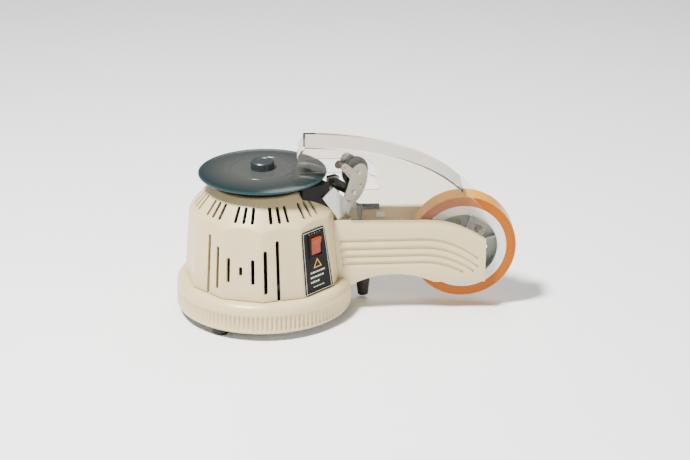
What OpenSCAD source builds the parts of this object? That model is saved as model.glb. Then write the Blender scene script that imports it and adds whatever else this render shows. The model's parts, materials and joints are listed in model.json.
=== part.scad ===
// Electric tape dispenser with a round motor base, a turntable that takes the
// cut strips, and a side arm that carries the tape reel under a clear cover.
// Millimetres, +Z up. The origin is on the ground, in the middle of the plan.

/* [Base] */
// Outer radius of the ribbed base ring
ring_r = 83.5; // [80:0.5:95]
// Height of the ring's lower edge above the ground, which is the height of the feet
ring_z = 8; // [6:0.5:12]
// Height of the ribbed band
band_h = 19; // [15:0.5:24]
// Height of the rounded shoulder above the band
shoulder_h = 8.5; // [7:0.5:10]
// Width of the rounded shoulder
shoulder_w = 7; // [5:0.5:9]
// Thickness of moulded walls
wall = 2.5; // [2:0.1:3.2]

/* [Motor housing] */
// Corner radius of the twelve-sided housing at its foot
housing_low_r = 75.4; // [73:0.1:76.5]
// Corner radius of the twelve-sided housing at its waist
housing_waist_r = 69.6; // [66:0.1:72]
// Height of the waist, where the round cone starts
waist_z = 102; // [95:1:110]
// Radius of the cone's flat top
cone_top_r = 47; // [44:0.5:52]
// Height of the cone's flat top
cone_top_z = 127.5; // [122:0.5:128]

/* [Turntable] */
// Radius of the turntable disc
disc_r = 60; // [54:0.5:62]
// Height of the underside of the disc's rim
disc_z = 134.3; // [134:0.1:137]
// Thickness of the disc
disc_t = 2.8; // [2:0.1:3.2]
// Rise from the rim to the flat middle of the disc
disc_rise = 2.4; // [1.5:0.1:2.6]
// Radius of the knob that clamps the disc
knob_r = 11; // [9:0.5:14]
// Radius of the spindle
spindle_r = 4; // [3:0.5:5]

/* [Drive] */
// Module of the spindle's gears
gear_module = 1; // [0.8:0.1:1.1]
// Teeth on the spindle's gear
gear_teeth = 60; // [50:1:66]
// Teeth on the motor's pinion
pinion_teeth = 20; // [16:1:24]

/* [Arm] */
// Distance from the turntable's axis to the reel's axis
reel_x = 188; // [180:1:220]
// Height of the reel's axis
reel_z = 63; // [60:0.5:70]
// Half of the arm's width
arm_half = 20; // [19:0.5:24]
// Thickness of the arm's side walls
arm_wall = 3; // [2.4:0.1:4]
// Height of the arm's top edge
arm_top_z = 93.5; // [90:0.5:97]

/* [Reel] */
// Outer radius of the tape roll
tape_r = 50.3; // [44:0.1:52]
// Width of the tape
tape_w = 22.3; // [12:0.1:25]
// Outer radius of the tape's core
core_r = 41; // [40.5:0.1:41.5]
// Inner radius of the tape's core
core_bore_r = 38.1; // [37.5:0.1:38.4]

/* [Cover] */
// Thickness of the clear cover
cover_t = 2.1; // [1.6:0.1:2.6]
// Height of the cover's top at its front
cover_top_z = 167; // [160:0.5:172]
// Swing of the cover from shut to open, in degrees
cover_swing = 75; // [50:1:80]

/* [Feed unit] */
// Angle of the feed unit about the vertical, in degrees
feed_angle = 34; // [30:1:36]
// Radius of the knurled feed wheel
wheel_r = 14; // [12:0.1:14.4]
// Radius of the rubber feed roller
roller_r = 4.9; // [4:0.1:5.1]
// Travel of the cutter blade
blade_travel = 5; // [3:0.5:6]

/* [Hidden] */
$fn = 96;

// Clearances
run_gap = 0.05;
slide_gap = 0.3;
seat_gap = 0.1;
body_gap = 0.6;

// Frame
mid_x = (reel_x + tape_r - ring_r) / 2;

// Base
band_top = ring_z + band_h;
shoulder_top = band_top + shoulder_h;
shoulder_in_r = ring_r - shoulder_w;
plate_t = 3;
plate_top = ring_z + plate_t;
foot_r = 8;
foot_turn = -123.5;
foot_spot_r = ring_r - wall - foot_r;
foot_spots = [for (i = [0 : 2]) foot_spot_r * [cos(foot_turn + 120 * i), sin(foot_turn + 120 * i)]];
foot_screw_r = 2;
support_spot = [94.5, 13.5];
support_low_z = 4;
support_top_z = 28;
support_r = 6.6;
stud_r = 2.5;
arm_side_gap = 0.2;
arm_low_z = band_top + 0.3;

// Housing: a twelve-sided prism that tapers, cut by a cone
housing_low_z = shoulder_top;
flat_cos = cos(15);
housing_taper = (housing_low_r - housing_waist_r) / (waist_z - housing_low_z);
facet_lean = atan(housing_taper * flat_cos);
cone_slope = (housing_waist_r - cone_top_r) / (cone_top_z - waist_z);
function corner_r(z) = housing_low_r - housing_taper * (z - housing_low_z);
function flat_r(z) = corner_r(z) * flat_cos;
top_hole_r = 36;

// Slots of the housing
slot_w = 2.5;
slot_group_angle = 105;
slot_step = 9.4;
slot_mid_z = 64;
slot_lengths = [59, 42, 24.5, 9, 24.5, 42, 59];
cone_slot_w = 2.2;
cone_slot_l = 15;
cone_slot_step = 7.3;
cone_slot_z = 114.5;
cone_slot_facets = [1 : 10];

// Switch on the facet beside the arm
panel_angle = -45;
panel_z = 67;
panel_h = 61.8;
// the panel widens towards its foot: along-facet places of its corners
panel_left = -17.2;
panel_right_top = 11.8;
panel_right_low = 18.2;
panel_corner = 1.8;
panel_t = 0.8;
switch_z = 82;
switch_shift = -1;
rocker_w = 12;
rocker_h = 18.5;
rocker_tilt = 8;
rocker_depth = 3;
rocker_gap = 0.4;
switch_rim = 1.4;
switch_body_w = rocker_w + 2 * (rocker_gap + switch_rim);
switch_body_h = rocker_h + 2 * (rocker_gap + switch_rim);
switch_deep = 15;

// Power inlet on the back facet
inlet_angle = 45;
inlet_z = 52;
inlet_w = 20;
inlet_h = 12;
inlet_deep = 16;
inlet_flange = 3;

// Drive
gear_h = 5;
gear_plate_z = 104;
gear_plate_t = 3;
gear_plate_r = 54;
gear_z = gear_plate_z + gear_plate_t + 1.5;
gear_r = gear_module * gear_teeth / 2;
pinion_r = gear_module * pinion_teeth / 2;
motor_x = -(gear_r + pinion_r);
motor_r = 16;
motor_h = 42;
motor_shaft_r = 3;
pillar_r = 3;
pillar_spot_r = 48;
bush_r = 8;
seat_r = 20;
seat_z = disc_z + disc_rise;
disc_top = seat_z + disc_t;
knob_h = 7.5;

// Arm
wall_in = arm_half - arm_wall;
arm_end_x = reel_x + 21;
arm_end_top = reel_z + 10.3;
arm_bend_x = reel_x - 36;
arm_drop = arm_top_z - arm_end_top;
arm_run = arm_end_x - arm_bend_x;
arm_top_r = (arm_run * arm_run + arm_drop * arm_drop) / (2 * arm_drop);
arm_low_end_z = 30.5;
arch_r = 85;
arch_x = 123.6;
arch_top_z = 39;
bay_x = reel_x - tape_r - 4;
deck_z = 80;
deck_t = 3;
floor_h = 15;
axle_r = 4;
near_seat = 1.2;
axle_boss_r = 6;

// Reel
hub_rim = 5.6;
hub_web = 3;
hub_boss_r = 9;
hub_hole_r = 4;
hub_hole_spot = 21;
hub_half = tape_w / 2;

// Cover
pin_x = reel_x + 14;
pin_z = reel_z + 5;
pin_r = 2.5;
ear_r = 6.5;
cover_in = arm_half - cover_t;
ear_out = wall_in - slide_gap;
ear_t = 2;
cover_low_z = 141.5;
cover_front_x = 38;
cover_nose = 5.6;
cover_door_x = 82;
strip_end_x = reel_x - 2;

// Feed unit, in its own turned frame: x runs away from the disc, y runs along
// the rollers towards the back
front_x = 60;
sheet = 1.5;
front_top_z = 110;
front_near = 58;
cheek_far = 52;
front_far = 19;
flange_w = 2;
wheel_x = 74;
wheel_z = 134.5;
wheel_near = 47;
wheel_w = 5;
roller_x = 68;
nip_gap = 0.3;
roller_z = wheel_z - sqrt(pow(wheel_r + roller_r + nip_gap, 2) - pow(wheel_x - roller_x, 2));
roller_near = 47.5;
roller_far = 21;
shaft_r = 2;
plate_near = 50.5;
lever_x = 58;
lever_z = 143;
lever_near = 41.6;
tension_x = 72;
tension_z = 143;
tension_r = 6.5;
lever_t = 1.6;
lever_pin_r = 2.5;
blade_x = front_x + sheet + 0.4;
blade_near = 48;
blade_far = 26;
blade_top_z = front_top_z - 1.5;

// ---------------------------------------------------------------- helpers

module place() { translate([-mid_x, 0, 0]) children(); }

module in_feed() { rotate([0, 0, feed_angle]) children(); }

// A solid drawn in the XZ plane, from y = low to y = high
module across(low, high) {
    translate([0, high, 0]) rotate([90, 0, 0]) linear_extrude(high - low) children();
}

// A frame on a housing facet: x points out of it, y runs along it, z up it
module on_facet(angle, z) {
    rotate([0, 0, angle]) translate([flat_r(z), 0, z]) rotate([0, -facet_lean, 0]) children();
}

// A slot with round ends, cut along x, as long as given along z
module long_slot(length, width, depth) {
    rotate([90, 0, 90]) translate([0, 0, -depth / 2]) linear_extrude(depth) {
        square([width, length - width], center = true);
        for (end = [-1, 1]) translate([0, end * (length - width) / 2]) circle(d = width);
    }
}

// A slab on the YZ plane with rounded corners
module pad(width, height, thick, radius) {
    rotate([90, 0, 90]) linear_extrude(thick) {
        square([width - 2 * radius, height], center = true);
        square([width, height - 2 * radius], center = true);
        for (sx = [-1, 1], sy = [-1, 1])
            translate([sx * (width / 2 - radius), sy * (height / 2 - radius)]) circle(radius);
    }
}

// Outer form of the housing, drawn in by inset
module housing_form(inset) {
    low = housing_low_z - (inset > 0 ? 1 : 0);
    steep = sqrt(1 + cone_slope * cone_slope);
    intersection() {
        translate([0, 0, low]) cylinder(
            h = cone_top_z - low,
            r1 = corner_r(low) - inset / flat_cos,
            r2 = corner_r(cone_top_z) - inset / flat_cos,
            $fn = 12);
        rotate_extrude() polygon([
            [0, low],
            [corner_r(low) - inset, low],
            [housing_waist_r - inset, waist_z],
            [cone_top_r - inset * (steep - cone_slope) - (inset > 0 ? cone_slope * -inset : 0),
                cone_top_z - inset],
            [0, cone_top_z - inset]]);
    }
}

// A spur gear with straight-flanked teeth
module gear(teeth, thick, bore) {
    pitch = gear_module * teeth / 2;
    out = pitch + 0.9 * gear_module;
    root = pitch - 1.15 * gear_module;
    step = 360 / teeth;
    difference() {
        linear_extrude(thick) polygon([
            for (i = [0 : teeth - 1], p = [[root, -0.34], [out, -0.13], [out, 0.13], [root, 0.34]])
                [p[0] * cos((i + p[1]) * step), p[0] * sin((i + p[1]) * step)]]);
        translate([0, 0, -1]) cylinder(h = thick + 2, r = bore);
    }
}

// Outline of the arm's side walls, in the XZ plane
module arm_outline() {
    difference() {
        union() {
            translate([58, arm_low_z]) square([arm_bend_x - 58, arm_top_z - arm_low_z]);
            intersection() {
                translate([arm_bend_x, arm_top_z - arm_top_r]) circle(arm_top_r, $fn = 180);
                translate([arm_bend_x - 1, arm_low_z]) square([arm_end_x - arm_bend_x + 1, 90]);
            }
        }
        translate([arch_x, arch_top_z - arch_r]) circle(arch_r, $fn = 180);
        translate([arch_x, 0]) square([200, arm_low_end_z]);
    }
}

// What the arm leaves free for the base: the housing and the ring's band
module base_clearance() {
    housing_form(-seat_gap);
    translate([0, 0, ring_z]) cylinder(h = band_h + seat_gap, r = ring_r + seat_gap);
}

// ---------------------------------------------------------------- base

module base_ring() {
    color("#d9d2bd") difference() {
        rotate_extrude($fn = 180) polygon(concat(
            [[ring_r, ring_z]],
            [for (a = [0 : 10 : 90])
                [shoulder_in_r + shoulder_w * cos(a), band_top + shoulder_h * sin(a)]],
            [[housing_low_r - 6, shoulder_top],
             [housing_low_r - 6, shoulder_top - wall],
             [shoulder_in_r - 1, shoulder_top - wall],
             [ring_r - wall, band_top],
             [ring_r - wall, ring_z]]));
        translate([40, -arm_half - arm_side_gap, band_top])
            cube([60, 2 * (arm_half + arm_side_gap), 40]);
    }
}

module base_plate() {
    color("#9a9a94") difference() {
        translate([0, 0, ring_z]) cylinder(h = plate_t, r = ring_r - wall);
        for (p = foot_spots) translate([p[0], p[1], 0]) cylinder(h = 40, r = foot_screw_r + seat_gap);
    }
}

module rubber_feet() {
    color("#1c1c1c") for (p = foot_spots) translate([p[0], p[1], 0]) rotate_extrude() polygon([
        [4.5, 0], [foot_r - 1.5, 0], [foot_r - 0.5, 1], [foot_r, ring_z],
        [foot_screw_r + seat_gap, ring_z], [foot_screw_r + seat_gap, 3.5], [4.5, 3.5]]);
}

module foot_screws() {
    color("#8d8d88") for (p = foot_spots) translate([p[0], p[1], 0]) rotate_extrude() polygon([
        [0, 1.2], [3.2, 1.2], [3.8, 2], [3.8, 3.5], [foot_screw_r, 3.5],
        [foot_screw_r, plate_top + 3], [0, plate_top + 3]]);
}

// The rubber stop under the arm, which keeps the arm from tipping down, on a stud
module support_foot() {
    color("#1c1c1c") translate([support_spot[0], support_spot[1], support_low_z]) rotate_extrude()
        polygon([
            [0, 0], [support_r - 2.2, 0], [support_r - 1.6, 0.8], [support_r, 15],
            [support_r, support_top_z - support_low_z], [stud_r, support_top_z - support_low_z],
            [stud_r, support_top_z - support_low_z + 9], [0, support_top_z - support_low_z + 9]]);
}

// ---------------------------------------------------------------- housing

module body_shell() {
    color("#d9d2bd") difference() {
        housing_form(0);
        housing_form(wall);
        cylinder(h = 200, r = top_hole_r);
        for (side = [-1, 1], i = [0 : 6]) {
            angle = side * slot_group_angle + (i - 3) * slot_step;
            rotate([0, 0, angle]) translate([flat_r(slot_mid_z), 0, slot_mid_z])
                long_slot(slot_lengths[i], slot_w, 24);
        }
        for (facet = cone_slot_facets, k = [-1 : 1])
            rotate([0, 0, 15 + 30 * facet + k * cone_slot_step])
                translate([housing_waist_r - cone_slope * (cone_slot_z - waist_z), 0, cone_slot_z])
                    rotate([0, -atan(cone_slope), 0])
                        long_slot(cone_slot_l, cone_slot_w, 14);
        on_facet(panel_angle, switch_z) translate([-10, switch_shift, 0])
            pad(switch_body_w + 2 * seat_gap, switch_body_h + 2 * seat_gap, 20, 1);
        on_facet(inlet_angle, inlet_z) translate([-10, 0, 0])
            pad(inlet_w + 2 * seat_gap, inlet_h + 2 * seat_gap, 20, 2);
        // room for the feed unit where it stands against the cone
        in_feed() translate([front_x - 1.5, -front_near, deck_z])
            cube([40, front_near - front_far + 11, 80]);
    }
}

module switch_panel() {
    color("#26282a") difference() {
        on_facet(panel_angle, panel_z) translate([seat_gap, 0, 0]) rotate([90, 0, 90])
            linear_extrude(panel_t) polygon([
                [panel_left, panel_corner - panel_h / 2],
                [panel_left + panel_corner, -panel_h / 2],
                [panel_right_low - panel_corner, -panel_h / 2],
                [panel_right_low, panel_corner - panel_h / 2],
                [panel_right_top, panel_h / 2 - panel_corner],
                [panel_right_top - panel_corner, panel_h / 2],
                [panel_left + panel_corner, panel_h / 2],
                [panel_left, panel_h / 2 - panel_corner]]);
        on_facet(panel_angle, switch_z) translate([-5, switch_shift, 0])
            pad(switch_body_w + 2 * seat_gap, switch_body_h + 2 * seat_gap, 20, 1);
    }
}

module switch_frame() {
    face = seat_gap + panel_t + 1;
    color("#1b1c1d") on_facet(panel_angle, switch_z) translate([0, switch_shift, 0]) difference() {
        union() {
            translate([-switch_deep, 0, 0]) pad(switch_body_w, switch_body_h, switch_deep + face, 1);
            translate([face - 1, 0, 0]) pad(switch_body_w + 2, switch_body_h + 2, 1, 1.5);
        }
        translate([1.5 - switch_deep, 0, 0])
            pad(rocker_w + 2 * rocker_gap, rocker_h + 2 * rocker_gap, 40, 0.5);
    }
}

// The rocker's pivot lies behind the facet; its two faces meet at a shallow angle
module power_rocker() {
    round_r = rocker_h / 2;
    color("#c8502e") on_facet(panel_angle, switch_z) translate([-rocker_depth, switch_shift, 0])
        rotate([0, rocker_tilt, 0]) rotate([90, 0, 0]) translate([0, 0, -rocker_w / 2])
            linear_extrude(rocker_w) intersection() {
                circle(round_r);
                difference() {
                    translate([-round_r, -round_r]) square([round_r + rocker_depth + 4, 2 * round_r]);
                    for (s = [-1, 1]) translate([rocker_depth + 1.6, 0]) rotate(-s * rocker_tilt)
                        translate([0, s > 0 ? 0 : -2 * round_r]) square([20, 2 * round_r]);
                }
            }
}

module power_inlet() {
    color("#1b1c1d") on_facet(inlet_angle, inlet_z) difference() {
        union() {
            translate([-inlet_deep, 0, 0]) pad(inlet_w, inlet_h, inlet_deep + seat_gap, 2);
            translate([seat_gap, 0, 0])
                pad(inlet_w + 2 * inlet_flange, inlet_h + 2 * inlet_flange, 2, 3);
        }
        translate([3 - inlet_deep, 0, 0]) pad(inlet_w - 4, inlet_h - 4, 40, 3.5);
    }
}

// ---------------------------------------------------------------- drive

module pillar_places() {
    for (a = [35, 145, 215, 325]) rotate([0, 0, a]) translate([pillar_spot_r, 0, 0]) children();
}

module plate_pillars() {
    color("#b9b9b2") pillar_places() translate([0, 0, plate_top])
        cylinder(h = gear_plate_z - plate_top, r = pillar_r);
}

module gear_plate() {
    color("#a9a9a3") difference() {
        translate([0, 0, gear_plate_z]) cylinder(h = gear_plate_t, r = gear_plate_r);
        translate([0, 0, gear_plate_z - 1]) cylinder(h = 9, r = bush_r);
        translate([motor_x, 0, gear_plate_z - 1]) cylinder(h = 9, r = motor_shaft_r + 1);
    }
}

module gear_motor() {
    color("#8f9090") translate([motor_x, 0, 0]) {
        translate([0, 0, gear_plate_z - motor_h]) cylinder(h = motor_h, r = motor_r);
        translate([0, 0, gear_plate_z - motor_h - 6]) cylinder(h = 6, r = 5);
    }
}

module motor_pinion() {
    color("#e8e4d6") translate([motor_x, 0, 0]) {
        translate([0, 0, gear_z]) rotate([0, 0, pinion_teeth % 2 == 0 ? 180 / pinion_teeth : 0])
            gear(pinion_teeth, gear_h, 0.01);
        translate([0, 0, gear_plate_z + 0.3]) cylinder(h = gear_z - gear_plate_z, r = motor_shaft_r);
    }
}

module spindle_gear() {
    color("#e8e4d6") translate([0, 0, gear_z]) gear(gear_teeth, gear_h, spindle_r);
}

module spindle() {
    color("#c4c4be") {
        translate([0, 0, gear_plate_z - 6]) cylinder(h = disc_top + 3 - gear_plate_z + 6, r = spindle_r);
        translate([0, 0, seat_z - 2.5]) cylinder(h = 2.5, r = seat_r);
    }
}

module bush(low, height) {
    translate([0, 0, low]) difference() {
        cylinder(h = height, r = bush_r);
        translate([0, 0, -1]) cylinder(h = height + 2, r = spindle_r + run_gap);
    }
}

module lower_bush() { color("#b08d4a") bush(gear_plate_z - 4, 8); }

module upper_bush() { color("#b08d4a") bush(cone_top_z - 4, 9); }

module bearing_housing() {
    color("#161616") difference() {
        union() {
            translate([0, 0, cone_top_z]) cylinder(h = 2.5, r = cone_top_r - 3);
            translate([0, 0, cone_top_z - 8]) cylinder(h = 12, r = bush_r + 5);
            // a dark block that fills the gap between the cone and the feed unit
            difference() {
                in_feed() translate([10, 0.2 - cheek_far, waist_z])
                    cube([30, cheek_far - 20, disc_z - 2.5 - waist_z]);
                housing_form(-seat_gap);
            }
        }
        translate([0, 0, cone_top_z - 20]) cylinder(h = 40, r = bush_r);
    }
}

module turntable_disc() {
    color("#46524f") difference() {
        rotate_extrude($fn = 180) polygon([
            [spindle_r, seat_z], [disc_r - 15, seat_z], [disc_r, disc_z],
            [disc_r, disc_z + disc_t * 0.8], [disc_r - 0.8, disc_z + disc_t],
            [disc_r - 15, disc_top], [spindle_r, disc_top]]);
        translate([0, 0, disc_top - 0.3]) rotate_extrude() translate([disc_r / 2, 0]) square([0.8, 1]);
    }
}

module disc_knob() {
    flutes = 24;
    color("#2a3236") translate([0, 0, disc_top]) difference() {
        rotate_extrude() polygon([
            [0, 0], [knob_r, 0], [knob_r, knob_h - 1], [knob_r - 1, knob_h],
            [knob_r - 2.6, knob_h], [knob_r - 3.2, knob_h - 0.6], [0, knob_h - 0.6]]);
        translate([0, 0, -1]) cylinder(h = 4, r = spindle_r);
        for (i = [0 : flutes - 1]) rotate([0, 0, i * 360 / flutes])
            translate([knob_r + 0.35, 0, 1]) cylinder(h = knob_h, r = 0.7);
    }
}

module transformer() {
    color("#7c7d78") translate([4, 30, plate_top]) {
        translate([-22, -17, 0]) cube([44, 10, 38]);
        translate([-22, 7, 0]) cube([44, 10, 38]);
        translate([-17, -7, 4]) cube([34, 14, 30]);
    }
}

module board_posts() {
    color("#e5e2d8") for (x = [-30, 20], y = [-56, -16])
        translate([x + 5, y, plate_top]) cylinder(h = 8, r = 2.5);
}

module circuit_board() {
    color("#2f6a46") translate([0, 0, plate_top + 8]) {
        translate([-30, -61, 0]) cube([60, 50, 1.6]);
        translate([-12, -44, 1.6]) cylinder(h = 18, r = 6);
        translate([8, -48, 1.6]) cube([14, 16, 14]);
    }
}

// ---------------------------------------------------------------- arm

module arm_wall_part(low, high) {
    difference() {
        across(low, high) arm_outline();
        base_clearance();
        // through the far wall, blind in the near one
        translate([pin_x, 2 * arm_half, pin_z]) rotate([90, 0, 0])
            cylinder(h = 2 * arm_half + wall_in + near_seat, r = pin_r);
        translate([reel_x, 2 * arm_half, reel_z]) rotate([90, 0, 0])
            cylinder(h = 2 * arm_half + wall_in + near_seat, r = axle_r);
    }
}

module near_arm_wall() { color("#d9d2bd") arm_wall_part(-arm_half, -wall_in); }

module far_arm_wall() { color("#d9d2bd") arm_wall_part(wall_in, arm_half); }

// The beam between the side walls: floor, deck and the bulkhead before the reel
module arm_frame() {
    color("#cfc8b2") difference() {
        union() {
            across(-wall_in, wall_in) difference() {
                translate([58, arm_low_z]) square([bay_x - 58, deck_z - arm_low_z]);
                translate([50, arm_low_z + floor_h])
                    square([bay_x - 50 - deck_t, deck_z - deck_t - arm_low_z - floor_h]);
                translate([arch_x, arch_top_z - arch_r]) circle(arch_r, $fn = 180);
            }
            translate([support_spot[0] - 7, wall_in - 10, support_top_z])
                cube([14, 10, arm_low_z + floor_h - support_top_z]);
        }
        base_clearance();
        translate([support_spot[0], support_spot[1], 0])
            cylinder(h = support_top_z + 9.3, r = stud_r);
    }
}

arm_screw_spots = [[88, arch_top_z - 0.5], [bay_x - 5, arch_top_z + 3], [bay_x - 8, deck_z - 4], [88, deck_z - 4]];

module arm_screws() {
    color("#8d8d88") for (p = arm_screw_spots) translate([p[0], arm_half, p[1]]) rotate([-90, 0, 0])
        rotate_extrude() polygon([[0, 0], [3.2, 0], [3.2, 0.8], [2.2, 1.8], [0, 1.8]]);
}

module reel_axle() {
    color("#c4c4be") translate([reel_x, 0, reel_z]) rotate([90, 0, 0]) {
        translate([0, 0, -arm_half]) cylinder(h = arm_half + wall_in + near_seat, r = axle_r);
        for (s = [-1, 1]) translate([0, 0, s * (wall_in + hub_half + 1) / 2])
            cylinder(h = wall_in - hub_half - 1, r = axle_boss_r, center = true);
    }
}

// ---------------------------------------------------------------- reel

module reel_hub() {
    color("#d5d4cc") translate([reel_x, 0, reel_z]) rotate([90, 0, 0]) difference() {
        union() {
            difference() {
                cylinder(h = tape_w, r = core_bore_r, center = true);
                cylinder(h = tape_w + 2, r = core_bore_r - hub_rim, center = true);
            }
            cylinder(h = hub_web, r = core_bore_r - hub_rim + 0.5, center = true);
            cylinder(h = tape_w, r = hub_boss_r, center = true);
            for (a = [15 : 60 : 345]) rotate([0, 0, a]) translate([hub_boss_r - 1, -0.8, -7])
                cube([core_bore_r - hub_rim - hub_boss_r + 1.5, 1.6, 14]);
        }
        cylinder(h = tape_w + 2, r = axle_r + run_gap, center = true);
        for (a = [45 : 60 : 345]) rotate([0, 0, a]) translate([hub_hole_spot, 0, 0])
            cylinder(h = 30, r = hub_hole_r, center = true);
    }
}

module tape_core() {
    color("#dcdad2") translate([reel_x, 0, reel_z]) rotate([90, 0, 0]) difference() {
        cylinder(h = tape_w, r = core_r, center = true);
        cylinder(h = tape_w + 2, r = core_bore_r, center = true);
    }
}

module tape_roll() {
    color("#cd7a30") translate([reel_x, 0, reel_z]) rotate([90, 0, 0]) difference() {
        cylinder(h = tape_w, r = tape_r, center = true);
        cylinder(h = tape_w + 2, r = core_r, center = true);
    }
}

// A cap that hides the end of the hub's boss
module hub_cap() {
    color("#d5d4cc") translate([reel_x, -hub_half, reel_z]) rotate([90, 0, 0]) difference() {
        cylinder(h = 0.7, r = hub_boss_r - 1);
        translate([0, 0, -1]) cylinder(h = 4, r = axle_r + slide_gap);
    }
}

// ---------------------------------------------------------------- cover

// The cover's top line, as points from the front to the end of the strip
cover_reach = strip_end_x - cover_front_x;
function cover_line(t) = [cover_front_x + cover_reach * t,
    cover_top_z - 30.6 * pow(t, 2) - 12.9 * pow(t, 6)];
cover_steps = 16;
function cover_top(drop) = [for (i = [0 : cover_steps]) cover_line(i / cover_steps) - [0, drop]];

module cover_side_outline() {
    difference() {
        polygon(concat(
            [[cover_front_x - cover_nose, cover_low_z + 14], [cover_front_x - cover_nose, cover_low_z + 8],
             [cover_front_x - cover_nose + 2, cover_low_z], [cover_door_x - 4, cover_low_z],
             [cover_door_x, cover_low_z - 5], [cover_door_x, arm_top_z + body_gap]],
            [[arm_bend_x, arm_top_z + body_gap]],
            [for (i = [1 : 6]) let (x = arm_bend_x + (pin_x + ear_r - 3 - arm_bend_x) * i / 6)
                [x, arm_top_z - arm_top_r + body_gap + sqrt(pow(arm_top_r, 2) - pow(x - arm_bend_x, 2))]],
            [[pin_x + ear_r + 2, pin_z + 20], [pin_x + 2, pin_z + 38]],
            [for (i = [cover_steps : -1 : 0]) cover_line(i / cover_steps)]));
        // the finger cut-out
        polygon([[97.6, 141], [104.1, 136.1], [108.7, 127.2], [106.9, 124.2], [92.1, 124.4]]);
    }
}

// The ear runs inside the arm's wall, down to the hinge pin
module ear_outline() {
    difference() {
        union() {
            translate([pin_x, pin_z]) circle(ear_r);
            polygon([[pin_x - ear_r, pin_z], [pin_x + ear_r, pin_z], [pin_x + ear_r, pin_z + 20],
                [pin_x - ear_r - 4, pin_z + 32]]);
        }
        translate([pin_x, pin_z]) circle(pin_r + run_gap);
    }
}

module cover_bridge_outline() {
    polygon([[pin_x - ear_r - 1, pin_z + 22], [pin_x + ear_r, pin_z + 16],
        [pin_x + ear_r, pin_z + 20], [pin_x - ear_r - 4, pin_z + 32]]);
}

module safety_cover() {
    color([0.86, 0.88, 0.86, 0.4]) {
        for (s = [-1, 1]) {
            across(s > 0 ? cover_in : -arm_half, s > 0 ? arm_half : -cover_in) cover_side_outline();
            across(s > 0 ? ear_out - ear_t : -ear_out, s > 0 ? ear_out : ear_t - ear_out) ear_outline();
            across(s > 0 ? ear_out - 0.1 : -cover_in - 0.1, s > 0 ? cover_in + 0.1 : 0.1 - ear_out)
                cover_bridge_outline();
        }
        across(-cover_in - 0.1, cover_in + 0.1) polygon(concat(
            cover_top(0),
            [for (i = [cover_steps : -1 : 0]) cover_line(i / cover_steps) - [0, cover_t * (1 + 0.5 * i / cover_steps)]]));
        // the sloping front lip of the top
        across(-cover_in - 0.1, cover_in + 0.1) polygon([
            [cover_front_x, cover_top_z], [cover_front_x + cover_t, cover_top_z - cover_t],
            [cover_front_x - cover_nose + cover_t, cover_low_z + 14],
            [cover_front_x - cover_nose, cover_low_z + 14]]);
    }
}

module cover_pins() {
    pin_in = ear_out - ear_t - 0.6;
    color("#c4c4be") translate([pin_x, 0, pin_z]) rotate([90, 0, 0]) {
        translate([0, 0, -arm_half]) cylinder(h = arm_half - pin_in, r = pin_r);
        translate([0, 0, pin_in]) cylinder(h = wall_in + near_seat - pin_in, r = pin_r);
    }
}

// ---------------------------------------------------------------- feed unit

// Front plate facing the disc, folded over at its top and at its foot
module feed_frame() {
    slots = 4;
    span = front_near - front_far;
    color("#b9b8b0") feed_cheek();
    color("#b9b8b0") in_feed() difference() {
        translate([front_x, -front_near, 0]) {
            // the plate's sides lean, and its far side stands on the arm's far wall
            rotate([90, 0, 90]) linear_extrude(sheet) polygon([
                [0, front_top_z], [0, front_top_z - 3], [7, deck_z + 8], [7, deck_z],
                [span - 3, deck_z], [span - 3, arm_top_z + 2], [span + 9, arm_top_z + 2],
                [span + 1, front_top_z]]);
            translate([0, 0, front_top_z - sheet]) cube([flange_w, span, sheet]);
            translate([0, 7, deck_z]) cube([18, span - 21, sheet]);
            // ear that carries the far end of the roller's shaft
            translate([0, span - sheet, arm_top_z + 2.5])
                cube([roller_x + 5 - front_x, sheet, roller_z + 6 - arm_top_z - 2.5]);
        }
        translate([roller_x, 0, roller_z]) rotate([90, 0, 0]) cylinder(h = 80, r = shaft_r + run_gap);
        for (i = [0 : slots - 1]) translate([front_x + 0.75, -front_near + 6 + i * 9, front_top_z])
            cube([4, 5, 1], center = true);
        translate([front_x - 1, -front_near + 14, deck_z + 8]) cube([4, 12, 8]);
    }
}

// Cheek that closes the gap between the front plate and the housing's shoulder
module feed_cheek() {
    difference() {
        in_feed() across(-cheek_far - sheet, -cheek_far) polygon([[31, 119], [43.7, 127],
            [front_x + 0.5, 109], [front_x + 0.5, 88], [50, 88], [47.5, 96]]);
        housing_form(-4 * seat_gap);
    }
}

// Near side plate: a banana-shaped plate that carries the shafts
module scale_plate() {
    color("#c6c7c4") in_feed() difference() {
        union() {
            across(-plate_near, -plate_near + sheet) union() {
                intersection() {
                    translate([55, 131]) circle(29.5);
                    polygon([[56.5, front_top_z + 0.3], [front_x + sheet + 0.2, front_top_z + 0.3],
                        [66.5, 104.5], [90, 104.5], [90, 134.5], [66, 134.5]]);
                }
                translate([wheel_x + 1, wheel_z - 0.5]) circle(9);
                translate([lever_x, lever_z]) circle(3.5);
                polygon([[lever_x - 2, lever_z - 3], [66, 128], [72, 136], [lever_x + 2, lever_z + 3]]);
                polygon([[front_x + sheet + 0.6, deck_z + sheet], [74, deck_z + sheet], [70, 112],
                    [front_x + sheet + 0.6, 112]]);
            }
            across(-plate_near, -plate_near + 12)
                translate([front_x + sheet + 0.6, deck_z + sheet]) square([10, sheet]);
        }
        translate([wheel_x, 0, wheel_z]) rotate([90, 0, 0]) cylinder(h = 80, r = shaft_r);
        translate([lever_x, 0, lever_z]) rotate([90, 0, 0]) cylinder(h = 80, r = lever_pin_r - 1);
        translate([roller_x, 0, roller_z]) rotate([90, 0, 0]) cylinder(h = 80, r = shaft_r + run_gap);
    }
}

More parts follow.
